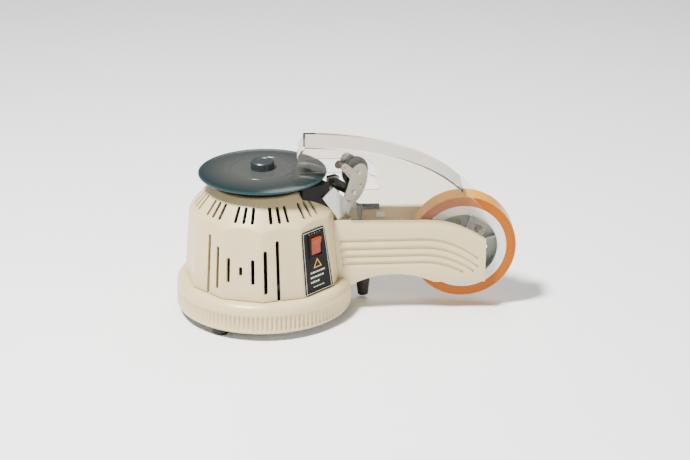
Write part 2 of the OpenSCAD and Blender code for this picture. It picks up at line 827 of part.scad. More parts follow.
// Black bearing block on the frame's ear, at the far end of the roller's shaft
module far_bearing() {
    color("#151515") in_feed() difference() {
        translate([roller_x - 5, -front_far, roller_z - 7]) cube([10, 6, 13]);
        translate([roller_x, -front_far + 5, roller_z]) rotate([90, 0, 0])
            cylinder(h = 80, r = shaft_r + run_gap);
    }
}

module shaft(low, high, radius) {
    translate([0, -high, 0]) rotate([-90, 0, 0]) cylinder(h = high - low, r = radius);
}

module feed_wheel() {
    teeth = 48;
    color("#3a3c3d") in_feed() translate([wheel_x, -wheel_near, wheel_z]) rotate([-90, 0, 0])
        difference() {
            linear_extrude(wheel_w) polygon([
                for (i = [0 : teeth - 1], p = [[wheel_r - 0.7, -0.35], [wheel_r, -0.12],
                    [wheel_r, 0.12], [wheel_r - 0.7, 0.35]])
                    [p[0] * cos((i + p[1]) * 360 / teeth), p[0] * sin((i + p[1]) * 360 / teeth)]]);
            translate([0, 0, -1]) cylinder(h = 20, r = shaft_r + run_gap);
        }
}

// Fixed stub shaft of the feed wheel, with a head at its inner end
module wheel_shaft() {
    head = wheel_near - wheel_w - slide_gap;
    color("#c4c4be") in_feed() translate([wheel_x, 0, wheel_z]) {
        shaft(head - 1, plate_near + 1.5, shaft_r);
        shaft(head - 1, head, shaft_r + 1.5);
    }
}

module feed_roller() {
    color("#1a1a1a") in_feed() translate([roller_x, -roller_near, roller_z]) rotate([-90, 0, 0])
        difference() {
            cylinder(h = roller_near - roller_far - 1.5, r = roller_r);
            translate([0, 0, -1]) cylinder(h = 60, r = shaft_r);
        }
}

module roller_shaft() {
    color("#c4c4be") in_feed() translate([roller_x, 0, roller_z])
        shaft(front_far - 4.5, plate_near + 2, shaft_r);
}

// Sprung lever with its roller, on a bush fixed to the near plate
module tension_lever() {
    color("#222324") in_feed() difference() {
        across(-lever_near, lever_t - lever_near) union() {
            translate([lever_x, lever_z]) circle(4);
            translate([tension_x, tension_z]) circle(3.5);
            polygon([[lever_x - 1, lever_z - 3.5], [tension_x + 1, tension_z - 3],
                [tension_x - 1, tension_z + 3], [lever_x - 1, lever_z + 3.5]]);
        }
        translate([lever_x, 0, lever_z]) rotate([90, 0, 0]) cylinder(h = 80, r = lever_pin_r + run_gap);
        translate([tension_x, 0, tension_z]) rotate([90, 0, 0]) cylinder(h = 80, r = 1.5);
    }
}

module tension_roller() {
    color("#7f827f") in_feed() translate([tension_x, 0, tension_z]) {
        shaft(lever_near - 9, lever_near - lever_t - slide_gap, tension_r);
        shaft(lever_near - 4, lever_near, 1.5);
    }
}

module lever_bush() {
    color("#a9824a") in_feed() translate([lever_x, 0, lever_z]) {
        shaft(lever_near - lever_t - 0.6, plate_near - sheet, lever_pin_r);
        shaft(plate_near - sheet, plate_near, lever_pin_r - 1);
    }
}

module blade_carrier() {
    color("#a9a9a3") in_feed() {
        translate([blade_x + 1, -blade_near, deck_z + 8]) cube([2, blade_near - blade_far, 18]);
        translate([blade_x + 3, -(blade_near + blade_far) / 2 - 3, deck_z + 8]) cube([4, 6, 8]);
    }
}

module cutter_blade() {
    teeth = 11;
    step = (blade_near - blade_far) / teeth;
    color("#d8d8d4") in_feed() translate([blade_x + 1, -blade_near, 0]) rotate([0, -90, 0])
        linear_extrude(0.7) polygon(concat(
            [[deck_z + 14, blade_near - blade_far], [deck_z + 14, 0]],
            [for (i = [0 : teeth - 1], k = [0, 1]) [blade_top_z - (k == 0 ? 1.6 : 0), (i + k / 2) * step]],
            [[blade_top_z - 1.6, blade_near - blade_far]]));
}

module cutter_solenoid() {
    color("#55585a") in_feed() translate([blade_x + 8.5, -blade_near, deck_z + 2 * sheet]) {
        cube([1.5, 12, 17]);
        translate([1.5, 1, 1]) cube([7, 10, 15]);
        translate([8.5, 0, 0]) cube([1.5, 12, 17]);
    }
}

// ---------------------------------------------------------------- arm fittings

// Black bar on the far wall that guides the tape's back edge
module guide_bar() {
    color("#141414") translate([88, wall_in - 4, deck_z + 12]) cube([22, 4 - 0.2, 5]);
}

module wire_clip() {
    color("#e9e6da") difference() {
        translate([107, wall_in - 3, deck_z + 4]) cube([8, 3, 5]);
        translate([106, wall_in - 2, deck_z + 5.5]) cube([12, 3, 2]);
    }
}

place() base_ring();
place() base_plate();
place() rubber_feet();
place() foot_screws();
place() support_foot();
place() body_shell();
place() switch_panel();
place() switch_frame();
place() power_rocker();
place() power_inlet();
place() plate_pillars();
place() gear_plate();
place() gear_motor();
place() motor_pinion();
place() spindle_gear();
place() spindle();
place() lower_bush();
place() upper_bush();
place() bearing_housing();
place() turntable_disc();
place() disc_knob();
place() transformer();
place() circuit_board();
place() board_posts();
place() arm_frame();
place() near_arm_wall();
place() far_arm_wall();
place() arm_screws();
place() reel_axle();
place() reel_hub();
place() tape_core();
place() tape_roll();
place() hub_cap();
place() safety_cover();
place() cover_pins();
place() feed_frame();
place() scale_plate();
place() far_bearing();
place() feed_wheel();
place() wheel_shaft();
place() feed_roller();
place() roller_shaft();
place() tension_lever();
place() tension_roller();
place() lever_bush();
place() blade_carrier();
place() cutter_blade();
place() cutter_solenoid();
place() guide_bar();
place() wire_clip();
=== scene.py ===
# %% [markdown]
# # Electric tape dispenser
# A round motor base carries a turntable disc; an arm at its side carries the tape reel, and a
# clear cover guards the rollers and the cutter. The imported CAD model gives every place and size.
# This script gives each piece its real surface: ribs, rounded edges, grooves, print and finish.
# Lengths are in metres, and MM turns millimetres into them.

# %% load the frame
import json
import math
import bmesh
import bpy
from mathutils import Matrix, Vector


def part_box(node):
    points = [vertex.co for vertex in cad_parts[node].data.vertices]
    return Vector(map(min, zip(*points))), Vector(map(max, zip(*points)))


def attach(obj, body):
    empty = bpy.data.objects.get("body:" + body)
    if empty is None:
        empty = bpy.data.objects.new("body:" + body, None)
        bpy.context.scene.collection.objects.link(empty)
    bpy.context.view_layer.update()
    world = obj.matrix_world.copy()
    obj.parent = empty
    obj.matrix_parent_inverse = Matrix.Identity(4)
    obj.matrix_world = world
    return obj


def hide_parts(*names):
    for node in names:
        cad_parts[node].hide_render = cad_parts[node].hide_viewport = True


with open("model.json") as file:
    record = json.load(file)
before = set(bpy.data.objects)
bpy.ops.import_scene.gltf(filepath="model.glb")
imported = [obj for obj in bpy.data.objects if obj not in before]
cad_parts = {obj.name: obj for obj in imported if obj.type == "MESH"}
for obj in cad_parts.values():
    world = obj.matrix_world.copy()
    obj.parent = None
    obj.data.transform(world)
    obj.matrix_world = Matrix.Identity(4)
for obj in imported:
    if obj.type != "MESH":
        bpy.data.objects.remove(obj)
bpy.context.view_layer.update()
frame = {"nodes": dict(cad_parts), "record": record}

MM = 0.001
scene = bpy.context.scene

# %% [markdown]
# The places that everything below is worked out from: the turntable's axis, the reel's axis,
# the ring's radius, half the arm's width, and the angle that the feed unit is turned through
# about the turntable's axis. The turn of the wheel's own axis, which comes from the frame, is
# printed.

# %% places read from the frame
ring_low = Vector(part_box("base_ring")[0])
RING_R, ARM_HALF = 0.0835, 20.0
AXIS_X = ring_low.x + RING_R
JOINTS = {joint["name"]: joint for joint in frame["record"]["behaviour"]["joints"]}
REEL = Vector(JOINTS["reel_spin"]["pos_m"])
WHEEL_AXIS = Vector(JOINTS["wheel_spin"]["axis"])
FEED_TURN = math.radians(34)
AXIS = Vector((AXIS_X, 0, 0))
print("turntable axis at x =", round(AXIS_X, 4))
wheel_turn = math.degrees(math.atan2(WHEEL_AXIS.x, -WHEEL_AXIS.y))
print("wheel axis turned", round(wheel_turn, 1), "degrees")

# %% [markdown]
# ## Camera and light
# A long lens from above and in front, a pale floor eight metres wide, one strong light from the
# upper left, a weak one from the right, one from above and behind, and a pale sky, as in a small
# studio.

# %% camera
lens = bpy.data.cameras.new("camera")
lens.lens = 88.4
camera = bpy.data.objects.new("camera", lens)
scene.collection.objects.link(camera)
camera.location = (-0.0377, -1.4816, 0.6872)
AIM = Vector((-0.0005, 0.0, 0.0763))
camera.rotation_euler = (AIM - camera.location).to_track_quat("-Z", "Y").to_euler()
scene.camera = camera

# %% floor and lights
def deselect():
    bpy.ops.object.select_all(action="DESELECT")


def only(obj):
    deselect()
    obj.select_set(True)
    bpy.context.view_layer.objects.active = obj


deselect()
bpy.ops.mesh.primitive_plane_add(size=8, location=(0, 0, 0))
floor = bpy.context.object
floor.name = "floor"


def area_light(name, place, size, watts, target=(0, 0, 0.08)):
    data = bpy.data.lights.new(name, "AREA")
    data.shape = "DISK"
    data.size = size
    data.energy = watts
    lamp = bpy.data.objects.new(name, data)
    scene.collection.objects.link(lamp)
    lamp.location = place
    lamp.rotation_euler = (Vector(target) - Vector(place)).to_track_quat("-Z", "Y").to_euler()


area_light("key", (-0.55, -0.5, 1.5), 0.3, 92)
area_light("fill", (1.1, -1.0, 0.7), 0.6, 7)
area_light("top", (0.3, 0.6, 1.4), 0.8, 12)
sky = bpy.data.worlds.new("sky")
sky.use_nodes = True
sky.node_tree.nodes["Background"].inputs["Color"].default_value = (0.96, 0.98, 1.0, 1)
sky.node_tree.nodes["Background"].inputs["Strength"].default_value = 0.26
scene.world = sky

# %% [markdown]
# ## Materials
# Colours are written as sRGB hex, as on a paint card, and turned to linear by one function.
# `node` adds one shader node with its settings and links, so a material reads like a recipe.
# Object coordinates are in metres, so a noise of scale 1000 / size has waves of that size in mm.

# %% material helpers
def linear(code, alpha=1.0):
    parts = [int(code[i:i + 2], 16) / 255 for i in (1, 3, 5)]
    return [c / 12.92 if c <= 0.04045 else ((c + 0.055) / 1.055) ** 2.4 for c in parts] + [alpha]


def node(material, kind, links=None, **settings):
    made = material.node_tree.nodes.new(kind)
    for key, value in settings.items():
        if hasattr(made, key):
            setattr(made, key, value)
        else:
            made.inputs[key.replace("_", " ")].default_value = value
    for socket, source in (links or {}).items():
        material.node_tree.links.new(source, made.inputs[socket])
    return made


def new_material(name, color, roughness, metallic=0.0, **sockets):
    material = bpy.data.materials.new(name)
    material.use_nodes = True
    shader = material.node_tree.nodes["Principled BSDF"]
    shader.inputs["Base Color"].default_value = linear(color)
    shader.inputs["Roughness"].default_value = roughness
    shader.inputs["Metallic"].default_value = metallic
    for key, value in sockets.items():
        shader.inputs[key.replace("_", " ")].default_value = value
    return material, shader


def link(material, source, target):
    material.node_tree.links.new(source, target)


def object_coords(material):
    return node(material, "ShaderNodeTexCoord").outputs["Object"]


def mottle(material, shader, color, spread, size_mm, detail=3.0):
    """Colour that drifts a little about its mean, over patches of a size in millimetres."""
    noise = node(material, "ShaderNodeTexNoise", {"Vector": object_coords(material)},
                 Scale=1000 / size_mm, Detail=detail)
    dark = [c * (1 - spread) for c in linear(color)[:3]] + [1]
    light = [min(1, c * (1 + spread)) for c in linear(color)[:3]] + [1]
    ramp = node(material, "ShaderNodeValToRGB", {"Fac": noise.outputs["Fac"]})
    ramp.color_ramp.elements[0].color = dark
    ramp.color_ramp.elements[0].position = 0.3
    ramp.color_ramp.elements[1].color = light
    ramp.color_ramp.elements[1].position = 0.7
    link(material, ramp.outputs["Color"], shader.inputs["Base Color"])


def grain(material, shader, size_mm, height_mm, rough_low, rough_high):
    """Fine surface grain: a bump, and a roughness that follows it."""
    noise = node(material, "ShaderNodeTexNoise", {"Vector": object_coords(material)},
                 Scale=1000 / size_mm, Detail=2.0)
    bump = node(material, "ShaderNodeBump", {"Height": noise.outputs["Fac"]},
                Distance=height_mm * MM, Strength=0.6)
    link(material, bump.outputs["Normal"], shader.inputs["Normal"])
    spread = node(material, "ShaderNodeMapRange", {"Value": noise.outputs["Fac"]},
                  To_Min=rough_low, To_Max=rough_high)
    link(material, spread.outputs["Result"], shader.inputs["Roughness"])


def brushed(material, shader, direction, size_mm, rough_low, rough_high):
    """Brushing lines: noise stretched along one direction."""
    stretch = [1000 / size_mm] * 3
    stretch[direction] *= 0.04
    mapping = node(material, "ShaderNodeMapping", {"Vector": object_coords(material)},
                   Scale=stretch)
    noise = node(material, "ShaderNodeTexNoise", {"Vector": mapping.outputs["Vector"]},
                 Scale=1.0, Detail=2.0)
    spread = node(material, "ShaderNodeMapRange", {"Value": noise.outputs["Fac"]},
                  To_Min=rough_low, To_Max=rough_high)
    link(material, spread.outputs["Result"], shader.inputs["Roughness"])
    bump = node(material, "ShaderNodeBump", {"Height": noise.outputs["Fac"]},
                Distance=0.02 * MM, Strength=0.5)
    link(material, bump.outputs["Normal"], shader.inputs["Normal"])

# %% [markdown]
# ### Moulded plastics
# The housing, ring and arm are cream ABS from a spark-eroded tool: a satin skin whose grain is
# about 0.3 mm, drawn here at 0.9 mm so that it shows, and a colour that drifts very slightly.
# The black mouldings have little gloss. The shell's inside faces, and those that look down,
# are painted near black as painted shade, which makes the air slots look black.

# %% plastics
def moulded_plastic(name, color, roughness, grain_mm=0.9, depth_mm=0.02, spread=0.035, gloss=0.5):
    material, shader = new_material(name, color, roughness, IOR=1.53, Specular_IOR_Level=gloss)
    mottle(material, shader, color, spread, 30)
    grain(material, shader, grain_mm, depth_mm, roughness - 0.06, roughness + 0.08)
    return material


cream_abs = moulded_plastic("cream_moulded_abs", "#CBB88A", 0.32)
black_abs = moulded_plastic("black_moulded_abs", "#040404", 0.55, gloss=0.2)
slate_abs = moulded_plastic("slate_moulded_abs", "#23292B", 0.32)
white_nylon = moulded_plastic("white_nylon", "#E4E0D3", 0.45)
grey_nylon = moulded_plastic("grey_nylon", "#80847F", 0.48)
hub_styrene = moulded_plastic("white_styrene", "#D8D8D2", 0.40)
# A greyer copy of the hub's white, painted on the hub's middle as shade.
hub_shadow = moulded_plastic("hub_painted_shade", "#A9ACA6", 0.45)
# Near black painted shade for the shell's inside and its downward faces.
painted_shade_inside = moulded_plastic("shell_inside_painted_shade", "#0D0C0A", 0.85)
black_rubber = moulded_plastic("black_rubber", "#0B0B0B", 0.7, 0.6, 0.04, 0.15)
board_lacquer = moulded_plastic("green_circuit_board", "#2C6A45", 0.35, 2.0)
varnished_iron = moulded_plastic("varnished_iron", "#5E5F5A", 0.5, 1.5)
floor_paper, floor_shader = new_material("floor_paper", "#F4F4F2", 0.9)
mottle(floor_paper, floor_shader, "#F4F4F2", 0.01, 120)
floor.data.materials.append(floor_paper)
print("plastics ready")

# %% [markdown]
# ### Metals
# Sheet steel is satin with faint brushing, plated plates are duller, and turned shafts are
# brighter. The feed wheel is blackened, and bushes are sintered brass. A metal keeps the default
# IOR, and its colour is its reflection.

# %% metals
def metal(name, color, rough_low, rough_high, direction=2, line_mm=0.5):
    material, shader = new_material(name, color, rough_high, 1.0)
    mottle(material, shader, color, 0.06, 12)
    brushed(material, shader, direction, line_mm, rough_low, rough_high)
    return material


satin_steel = metal("satin_sheet_steel", "#B9B9B4", 0.28, 0.44, 2)
bright_steel = metal("turned_steel", "#CFCFCA", 0.18, 0.30, 1)
zinc_steel = metal("zinc_plated_steel", "#A9AAA6", 0.34, 0.5, 0, 3.0)
black_steel = metal("blackened_steel", "#4A4D4E", 0.35, 0.5, 1)
motor_paint = metal("plated_motor_can", "#8C8E8D", 0.32, 0.45, 2)
brass = metal("sintered_brass", "#B08D4A", 0.28, 0.42, 1)
print("metals ready")

# %% [markdown]
# ### Clear and smoked plastics
# The cover is clear polycarbonate with a faint warm tint. Its IOR is set under the real 1.58, so
# that its thin walls bend the view less and their edges don't go black. The disc is smoked
# acrylic: nearly opaque and glossy. Its colour is painted lighter in the middle, a painted
# reflection, and blue-green towards the rim, a painted edge light.

# %% clear cover and smoked disc
clear_cover, shader = new_material("clear_polycarbonate", "#F4EFE6", 0.03, IOR=1.3,
                                   Transmission_Weight=1.0, Specular_IOR_Level=0.28)
haze = node(clear_cover, "ShaderNodeTexNoise", {"Vector": object_coords(clear_cover)},
            Scale=60.0, Detail=3.0)
spread = node(clear_cover, "ShaderNodeMapRange", {"Value": haze.outputs["Fac"]},
              To_Min=0.01, To_Max=0.04)
link(clear_cover, spread.outputs["Result"], shader.inputs["Roughness"])

smoked_acrylic, shader = new_material("smoked_acrylic", "#1D2426", 0.2, IOR=1.49,
                                      Specular_IOR_Level=0.35)
from_axis = node(smoked_acrylic, "ShaderNodeMapping", {"Vector": object_coords(smoked_acrylic)},
                 Location=(-AXIS_X, 0, 0), Scale=(1, 1, 0))
radius = node(smoked_acrylic, "ShaderNodeVectorMath", {"Vector": from_axis.outputs["Vector"]},
              operation="LENGTH")
# This ramp paints a reflection, lighter in the middle, and a blue-green edge light at the rim.
painted_reflection_and_edge_light = node(smoked_acrylic, "ShaderNodeValToRGB")
to_unit = node(smoked_acrylic, "ShaderNodeMapRange", {"Value": radius.outputs["Value"]},
               From_Min=0.0, From_Max=0.060)
link(smoked_acrylic, to_unit.outputs["Result"], painted_reflection_and_edge_light.inputs["Fac"])
painted_reflection_and_edge_light.color_ramp.elements[0].color = linear("#3B3C39")
painted_reflection_and_edge_light.color_ramp.elements[0].position = 0.45
painted_reflection_and_edge_light.color_ramp.elements[1].color = linear("#1A3534")
painted_reflection_and_edge_light.color_ramp.elements[1].position = 1.0
rim_start = painted_reflection_and_edge_light.color_ramp.elements.new(0.76)
rim_start.color = linear("#2A2E2C")
rim_end = painted_reflection_and_edge_light.color_ramp.elements.new(0.955)
rim_end.color = linear("#142022")
link(smoked_acrylic, painted_reflection_and_edge_light.outputs["Color"], shader.inputs["Base Color"])
print("clear plastics ready")

# %% [markdown]
# ### Tape
# Wound film shows its layers as fine rings on the roll's sides, amber where one looks into the
# winding, and a pale glossy band on its tread. A real layer is about 0.05 mm thick. The rings are
# drawn as waves of about 0.7 mm with finer ones in them, so that they show.

# %% tape
wound_tape, shader = new_material("wound_tape_side", "#A05200", 0.4, IOR=1.48,
                                  Specular_IOR_Level=0.2)
from_reel = node(wound_tape, "ShaderNodeMapping", {"Vector": object_coords(wound_tape)},
                 Location=(-REEL.x, 0, -REEL.z))
flat = node(wound_tape, "ShaderNodeVectorMath", {0: from_reel.outputs["Vector"]},
            operation="MULTIPLY")
flat.inputs[1].default_value = (1, 0, 1)
ring_radius = node(wound_tape, "ShaderNodeVectorMath", {0: flat.outputs["Vector"]},
                   operation="LENGTH")
rings = node(wound_tape, "ShaderNodeTexNoise", {"W": ring_radius.outputs["Value"]},
             noise_dimensions="1D", Scale=1400.0, Detail=3.0)
amber = node(wound_tape, "ShaderNodeValToRGB", {"Fac": rings.outputs["Fac"]})
amber.color_ramp.elements[0].color = linear("#8A4200")
amber.color_ramp.elements[0].position = 0.3
amber.color_ramp.elements[1].color = linear("#B46200")
amber.color_ramp.elements[1].position = 0.72
link(wound_tape, amber.outputs["Color"], shader.inputs["Base Color"])

tape_tread, shader = new_material("tape_tread", "#C98E2A", 0.26, IOR=1.48, Specular_IOR_Level=0.35)
mottle(tape_tread, shader, "#C98E2A", 0.06, 9)
print("tape ready")

# %% [markdown]
# ### Switch and print
# The rocker is a translucent red-orange cap over a lamp; the panel is matt black film, printed
# in off-white and yellow.

# %% switch and print
rocker_red, shader = new_material("rocker_translucent_red", "#943400", 0.3, IOR=1.49,
                                  Subsurface_Weight=0.15, Specular_IOR_Level=0.3)
mottle(rocker_red, shader, "#943400", 0.12, 8)
shader.inputs["Subsurface Radius"].default_value = (0.003, 0.001, 0.0006)
panel_film = moulded_plastic("panel_film", "#050505", 0.6, 0.7, 0.01, gloss=0.2)
white_ink = moulded_plastic("white_ink", "#D8D6CE", 0.5, 0.7, 0.01)
yellow_ink = moulded_plastic("yellow_ink", "#D9A63A", 0.5, 0.7, 0.01)
print("print ready")

# %% [markdown]
# ### Finish of each CAD node
# A node that keeps its CAD shape, inside the machine or out, takes its material here. A softened
# copy of a node takes the same one from this table.

# %% finishes
FINISH = {
    "base_ring": cream_abs, "body_shell": cream_abs, "near_arm_wall": cream_abs,
    "far_arm_wall": cream_abs, "arm_frame": cream_abs, "base_plate": zinc_steel,
    "plate_pillars": zinc_steel, "gear_plate": zinc_steel, "foot_screws": bright_steel,
    "arm_screws": bright_steel, "rubber_feet": black_rubber, "support_foot": black_rubber,
    "feed_roller": black_rubber, "switch_panel": panel_film, "switch_frame": black_abs,
    "power_inlet": black_abs, "bearing_housing": black_abs, "far_bearing": black_abs,
    "guide_bar": black_abs, "tension_lever": black_abs, "power_rocker": rocker_red,
    "gear_motor": motor_paint, "cutter_solenoid": motor_paint, "motor_pinion": white_nylon,
    "spindle_gear": white_nylon, "board_posts": white_nylon, "wire_clip": white_nylon,
    "spindle": bright_steel, "reel_axle": bright_steel, "cover_pins": bright_steel,
    "wheel_shaft": bright_steel, "roller_shaft": bright_steel, "cutter_blade": bright_steel,
    "lower_bush": brass, "upper_bush": brass, "lever_bush": brass,
    "turntable_disc": smoked_acrylic, "disc_knob": slate_abs, "transformer": varnished_iron,
    "circuit_board": board_lacquer, "reel_hub": hub_styrene, "tape_core": hub_styrene,
    "hub_cap": hub_styrene, "tape_roll": wound_tape, "safety_cover": clear_cover,
    "feed_frame": satin_steel, "scale_plate": satin_steel, "blade_carrier": satin_steel,
    "feed_wheel": black_steel, "tension_roller": grey_nylon,
}
for name, material in FINISH.items():
    cad = frame["nodes"][name]
    cad.data.materials.clear()
    cad.data.materials.append(material)
print(len(FINISH), "CAD nodes given a finish")

# %% [markdown]
# ## Tools for making pieces
# A turned piece is one section, drawn point by point and spun about an axis, as on a lathe.
# A softened piece is a copy of a CAD node with its doubles merged and its edges rounded by a
# bevel, because no moulded or stamped edge is truly sharp and the rounding catches the light.

# %% shared steps
def edit(obj):
    only(obj)
    bpy.ops.object.mode_set(mode="EDIT")
    bpy.ops.mesh.select_all(action="SELECT")


def leave_edit():
    bpy.ops.object.mode_set(mode="OBJECT")


def settle(obj, smooth_angle=30):
    """Puts the object's place into its mesh, and smooths it below an angle."""
    only(obj)
    bpy.ops.object.transform_apply(location=True, rotation=True, scale=True)
    edit(obj)
    bpy.ops.mesh.remove_doubles(threshold=1e-6)
    bpy.ops.mesh.normals_make_consistent(inside=False)
    leave_edit()
    bpy.ops.object.shade_smooth_by_angle(angle=math.radians(smooth_angle))


def modify(obj, kind, **settings):
    only(obj)
    modifier = obj.modifiers.new(kind.lower(), kind)
    for key, value in settings.items():
        setattr(modifier, key, value)
    bpy.ops.object.modifier_apply(modifier=modifier.name)


def join(pieces, name):
    deselect()
    for piece in pieces:
        piece.select_set(True)
    bpy.context.view_layer.objects.active = pieces[0]
    bpy.ops.object.join()
    pieces[0].name = name
    return pieces[0]


def duplicate(obj):
    twin = obj.copy()
    twin.data = obj.data.copy()
    scene.collection.objects.link(twin)
    return twin


def cut(obj, cutter, operation="DIFFERENCE"):
    modify(obj, "BOOLEAN", operation=operation, object=cutter, solver="EXACT")
    bpy.data.objects.remove(cutter, do_unlink=True)


SLOTS = {part["node"]: part["material_slot"] for part in frame["record"]["subparts"]}


def finish_piece(obj, name, body, material, *nodes, slot=None):
    """Names a piece, gives it its finish and its body, and hides the CAD nodes that it stands for.
    """
    obj.name = name
    if not obj.data.materials:
        obj.data.materials.append(material)
    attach(obj, body)
    for node_name in nodes:
        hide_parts(node_name)
    print(name, "rides on", body, "with", len(obj.data.polygons), "faces")
    return obj


def turned(centre, section, steps, axis=(0, 0, 1), outward=(1, 0, 0)):
    """A closed section of (radius, height) points in millimetres, spun about an axis."""
    axis, outward = Vector(axis), Vector(outward)
    points = [centre + outward * (r * MM) + axis * (h * MM) for r, h in section]
    deselect()
    bpy.ops.mesh.primitive_plane_add(size=0.001, location=points[0])
    piece = bpy.context.object
    edit(piece)
    bpy.ops.mesh.merge(type="CENTER")
    for here, there in zip(points, points[1:] + points[:1]):
        bpy.ops.mesh.extrude_region_move(TRANSFORM_OT_translate={"value": there - here})
    bpy.ops.mesh.select_all(action="SELECT")
    bpy.ops.mesh.remove_doubles(threshold=1e-6)
    bpy.ops.mesh.spin(steps=steps, angle=2 * math.pi, center=centre, axis=axis)
    bpy.ops.mesh.select_all(action="SELECT")
    leave_edit()
    settle(piece)
    return piece


def block(low, high, matrix=None):
    """A box between two corners in millimetres, in a frame of its own if one is given."""
    deselect()
    bpy.ops.mesh.primitive_cube_add(size=1)
    solid = bpy.context.object
    low, high = Vector(low) * MM, Vector(high) * MM
    solid.data.transform(Matrix.Translation((low + high) / 2) @ Matrix.Diagonal((*(high - low), 1)))
    if matrix is not None:
        solid.data.transform(matrix)
    return solid


def tidy_faces(obj, threshold, flat_angle):
    """Merges doubles, and joins neighbouring faces that lie in one plane."""
    edit(obj)
    bpy.ops.mesh.remove_doubles(threshold=threshold)
    bpy.ops.mesh.dissolve_limited(angle_limit=math.radians(flat_angle))
    leave_edit()


def merged_copy(name, ending):
    """A copy of a CAD node whose loose triangles are merged into whole faces."""
    piece = bpy.data.objects.new(name + ending, frame["nodes"][name].data.copy())
    scene.collection.objects.link(piece)
    tidy_faces(piece, 2e-6, 0.4)
    return piece


def round_edges(obj, width_mm, segments, angle):
    """Bevels the edges that are sharper than an angle."""
    modify(obj, "BEVEL", width=width_mm * MM, segments=segments, limit_method="ANGLE",
           angle_limit=math.radians(angle), use_clamp_overlap=True)


def soften(name, width_mm, body, angle=35):
    """A merged copy of a CAD node, its edges rounded, which stands for the node."""
    piece = merged_copy(name, "_piece")
    round_edges(piece, width_mm, 2, angle)
    only(piece)
    bpy.ops.object.shade_smooth_by_angle(angle=math.radians(32))
    modify(piece, "WEIGHTED_NORMAL", keep_sharp=True)
    return finish_piece(piece, name + "_piece", body, FINISH[name], name)


print("tools ready,", len(SLOTS), "slots known")

# %% [markdown]
# ## Ribbed base ring
# The ring round the foot is gripped when the machine is moved, so the mould gives it a band of
# 120 upright ribs between a plain lip and a round shoulder. It could be one rib arrayed in
# a circle, but a turned ring whose columns of points are then drawn in keeps it one clean mesh.

# %% ring
RING_FOOT, RING_BAND, SHOULDER_H, SHOULDER_W = 8.0, 27.0, 8.5, 7.0
RIBS, COLUMNS, RIB_DEPTH = 120, 6, 1.7
RIM = RING_R / MM
shoulder = [(RIM - SHOULDER_W + SHOULDER_W * math.cos(math.radians(a)),
             RING_BAND + SHOULDER_H * math.sin(math.radians(a))) for a in range(10, 100, 10)]
section = [(RIM - 0.7, RING_FOOT), (RIM - 0.15, RING_FOOT + 0.5), (RIM, RING_FOOT + 1.2),
           (RIM, 10.2), (RIM, 10.9), (RIM, 11.8), (RIM, 17.5), (RIM, 23.8), (RIM, 24.8),
           (RIM, 25.6), (RIM, RING_BAND)] + shoulder + [
           (69.4, RING_BAND + SHOULDER_H), (69.4, 33.0), (75.5, 33.0), (81.0, RING_BAND),
           (81.0, RING_FOOT)]
ring = turned(AXIS, section, RIBS * COLUMNS)
print("ring turned with", len(ring.data.polygons), "faces")

# %% ribs: every sixth column of points is drawn in to a groove, its neighbours less and less
# Each row of points is a height in millimetres and how much of the groove's depth it takes.
RIB_ROWS = {10.9: 0.45, 11.8: 1.0, 17.5: 1.0, 23.8: 1.0, 24.8: 0.45}
for share, members in ((1.0, (0,)), (0.6, (1, 5)), (0.12, (2, 4))):
    for height, reach in RIB_ROWS.items():
        edit(ring)
        bpy.ops.mesh.select_all(action="DESELECT")
        mesh = bmesh.from_edit_mesh(ring.data)
        for vertex in mesh.verts:
            out = (vertex.co - AXIS).xy
            column = round(math.atan2(out.y, out.x) / (2 * math.pi) * RIBS * COLUMNS) % COLUMNS
            on_row = abs(vertex.co.z / MM - height) < 0.05 and out.length > RING_R - 0.0005
            vertex.select = on_row and column in members
        mesh.select_flush_mode()
        bmesh.update_edit_mesh(ring.data)
        shrink = 1 - RIB_DEPTH * share * reach / RIM
        bpy.ops.transform.resize(value=(shrink, shrink, 1), center_override=AXIS)
        leave_edit()
ARM_GAP = 0.2
cut(ring, block((40, -ARM_HALF - ARM_GAP, RING_BAND), (100, ARM_HALF + ARM_GAP, 70),
                Matrix.Translation(AXIS)))
settle(ring, 40)
finish_piece(ring, "ribbed_ring", "housing", cream_abs, "base_ring")

# %% [markdown]
# ## Housing shell
# The shell is a twelve-sided prism that tapers, cut off by a round cone, so each facet ends in
# an arch. Two solids are crossed to get it: a cone with twelve sides and a turned one. The edges
# are then rounded, the inside is taken out, the air slots are cut with one kind of slot tool, and
# the faces that look inwards or down are painted near black as painted shade.

# %% shell
FOOT_R, FOOT_Z, WAIST_R, WAIST_Z, TOP_R, TOP_Z, WALL = 75.4, 35.5, 69.6, 102.0, 47.0, 127.5, 2.5
SIDES = 12
HALF_FACET = math.radians(180 / SIDES)
TAPER = (FOOT_R - WAIST_R) / (WAIST_Z - FOOT_Z)
CONE_SLOPE = (WAIST_R - TOP_R) / (TOP_Z - WAIST_Z)
LEAN = math.atan(TAPER * math.cos(HALF_FACET))


def corner_radius(height):
    """How far a corner of the prism is from the axis, in millimetres."""
    return FOOT_R - TAPER * (height - FOOT_Z)


def flat_radius(height):
    """How far the middle of a facet is from the axis, in millimetres."""
    return corner_radius(height) * math.cos(HALF_FACET)


